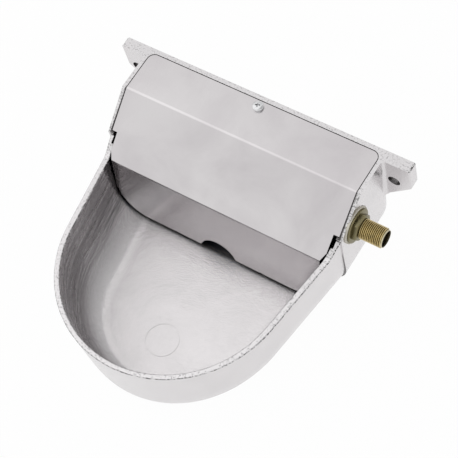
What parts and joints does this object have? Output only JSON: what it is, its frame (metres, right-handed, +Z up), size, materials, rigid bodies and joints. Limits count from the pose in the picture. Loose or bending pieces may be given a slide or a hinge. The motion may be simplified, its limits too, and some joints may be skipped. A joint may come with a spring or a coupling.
{
  "type": "livestock drinking bowl",
  "caption": "Wall-mounted cast drinking bowl for livestock with a sheet-metal cover over its float valve and a threaded side inlet.",
  "frame": {"origin": "in the middle of the back face that lies against the wall, level with the two wall bolt holes", "axes": "+X to the right of someone facing the bowl, -Y out from the wall towards the animal, +Z up"},
  "size_m": [0.3385, 0.301, 0.1342],
  "materials": {
    "cast_aluminium": "sand cast, tumbled, bare",
    "stainless": "satin",
    "screw_steel": "bright",
    "brass": "turned, slightly dull",
    "fibre": "ivory, matte",
    "rubber": "matte",
    "jet_plastic": "moulded",
    "float_plastic": "moulded, blue",
    "plated_steel": "zinc plated"
  },
  "bodies": {
    "bowl": {"bowl_casting": "cast_aluminium", "inlet_nipple": "brass", "outer_washer": "fibre", "inner_gasket": "rubber", "valve_body": "brass", "nozzle": "jet_plastic", "nozzle_ring": "rubber", "pivot_pin": "plated_steel", "split_pin": "plated_steel"},
    "float_arm": {"float_lever": "brass", "float_rod": "brass", "rod_lock_nut": "brass", "float_lock_nut": "brass", "float_washer": "plated_steel", "float_insert": "brass", "float_shell": "float_plastic", "float_lid": "float_plastic"},
    "piston": {"valve_piston": "brass", "piston_seal": "rubber"},
    "lid": {"cover": "stainless", "cover_screw": "screw_steel"}
  },
  "joints": [
    {"name": "float_pivot", "type": "hinge", "parent": "bowl", "child": "float_arm", "pos_m": [0.088, -0.0675, -0.019], "axis": [0, 1, 0], "range_deg": [0, 14]},
    {"name": "piston_slide", "type": "slide", "parent": "bowl", "child": "piston", "axis": [1, 0, 0], "range_m": [0, 0.0032]},
    {"name": "cover_lift", "type": "slide", "parent": "bowl", "child": "lid", "axis": [0, 0, 1], "range_m": [0, 0.12]}
  ],
  "couplings": [
    {"joint": "piston_slide", "follows": "float_pivot", "m_per_rad": 0.01297}
  ]
}
